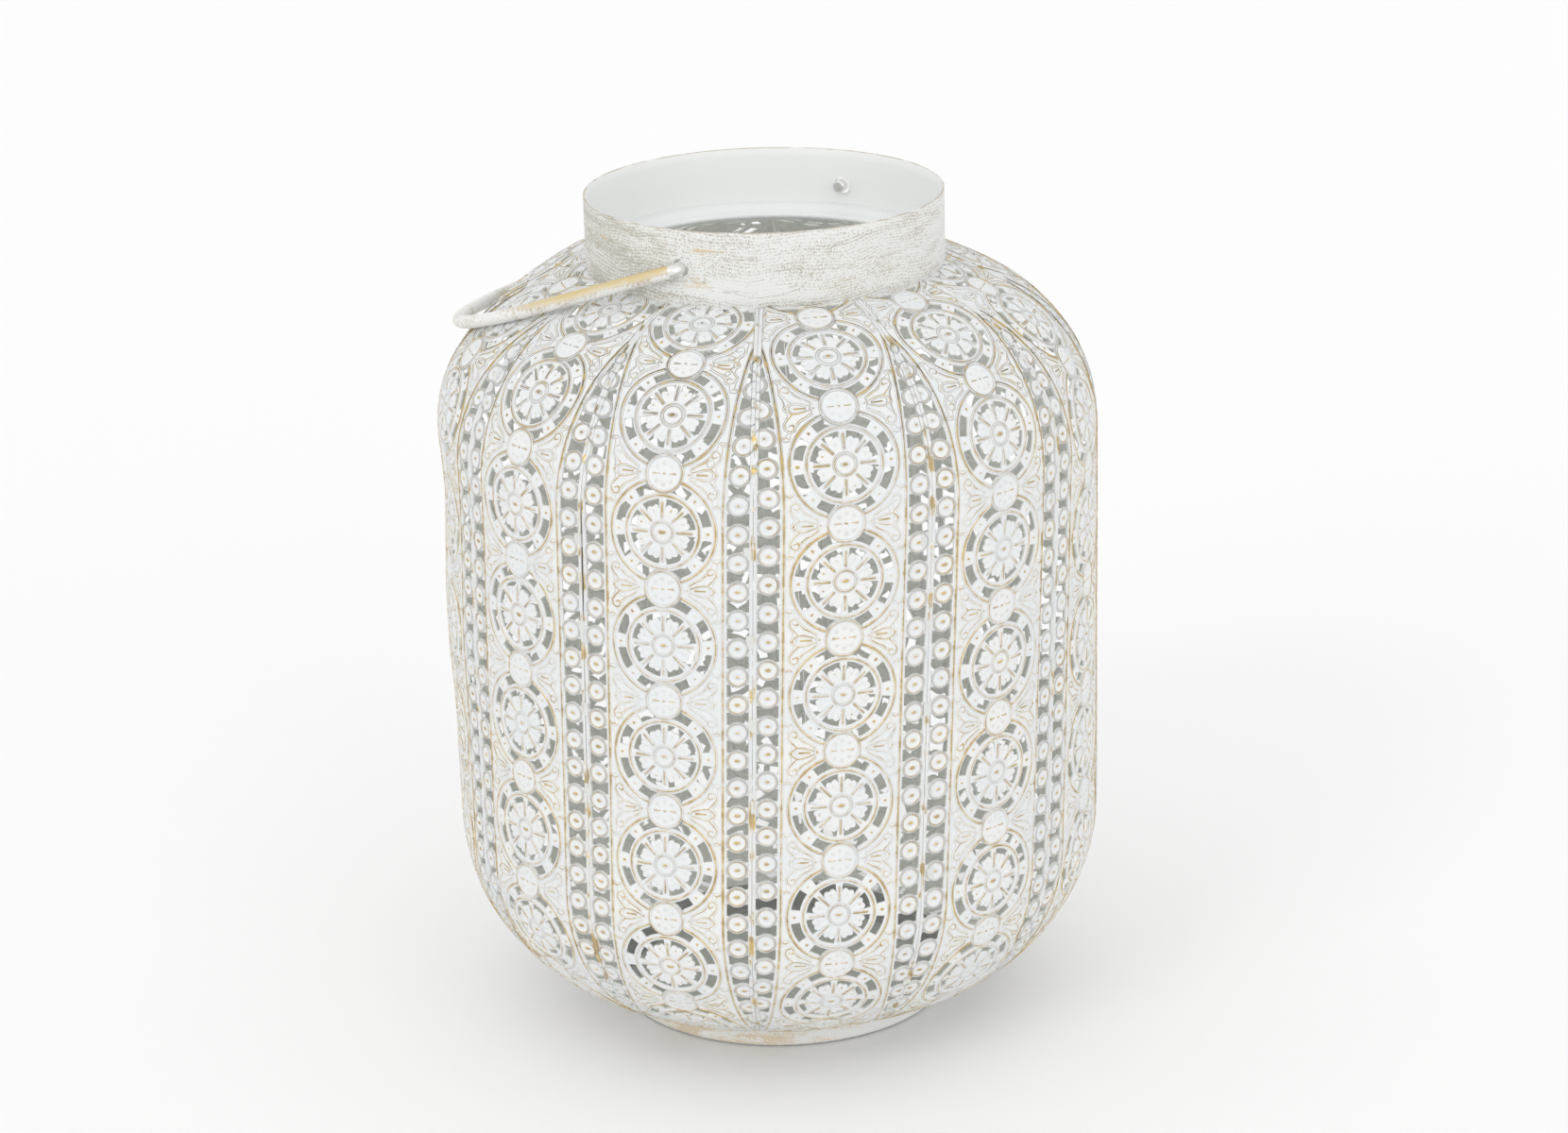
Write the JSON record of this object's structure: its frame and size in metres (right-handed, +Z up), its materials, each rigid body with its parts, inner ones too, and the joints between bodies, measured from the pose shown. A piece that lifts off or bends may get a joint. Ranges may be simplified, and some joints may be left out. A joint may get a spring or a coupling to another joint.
{
  "type": "pierced metal candle lantern",
  "caption": "Round-shouldered lantern of pierced and embossed sheet metal strips in rubbed white paint, with an open collar, a base pan and a swinging bail handle.",
  "frame": {"origin": "centre of the base pan's underside, on the surface the lantern stands on", "axes": "+Z up along the lantern's axis; the bail's pivot runs along Y and the bail rests towards -X"},
  "size_m": [0.3006, 0.3, 0.3877],
  "materials": {
    "gore_paint": "matt chalky white paint, rubbed to gold on the raised lines",
    "collar_paint": "matt white paint over grey-brown brush strokes",
    "ring_paint": "matt white paint",
    "pan_paint": "matt white paint with gold strokes",
    "rod_paint": "white paint rubbed to gold",
    "solder": "dull, partly painted over"
  },
  "bodies": {
    "body": {"panel_01": "gore_paint", "panel_02": "gore_paint", "panel_03": "gore_paint", "panel_04": "gore_paint", "panel_05": "gore_paint", "panel_06": "gore_paint", "panel_07": "gore_paint", "panel_08": "gore_paint", "panel_09": "gore_paint", "panel_10": "gore_paint", "panel_11": "gore_paint", "panel_12": "gore_paint", "seam_tacks": "solder", "collar": "collar_paint", "neck_ring": "ring_paint", "neck_tacks": "solder", "base_pan": "pan_paint", "pan_tacks": "solder"},
    "bail": {"bail": "rod_paint"}
  },
  "joints": [
    {"name": "bail_swing", "type": "hinge", "parent": "body", "child": "bail", "pos_m": [0, 0, 0.37093], "axis": [0, 1, 0], "range_deg": [0, 217.6]}
  ]
}
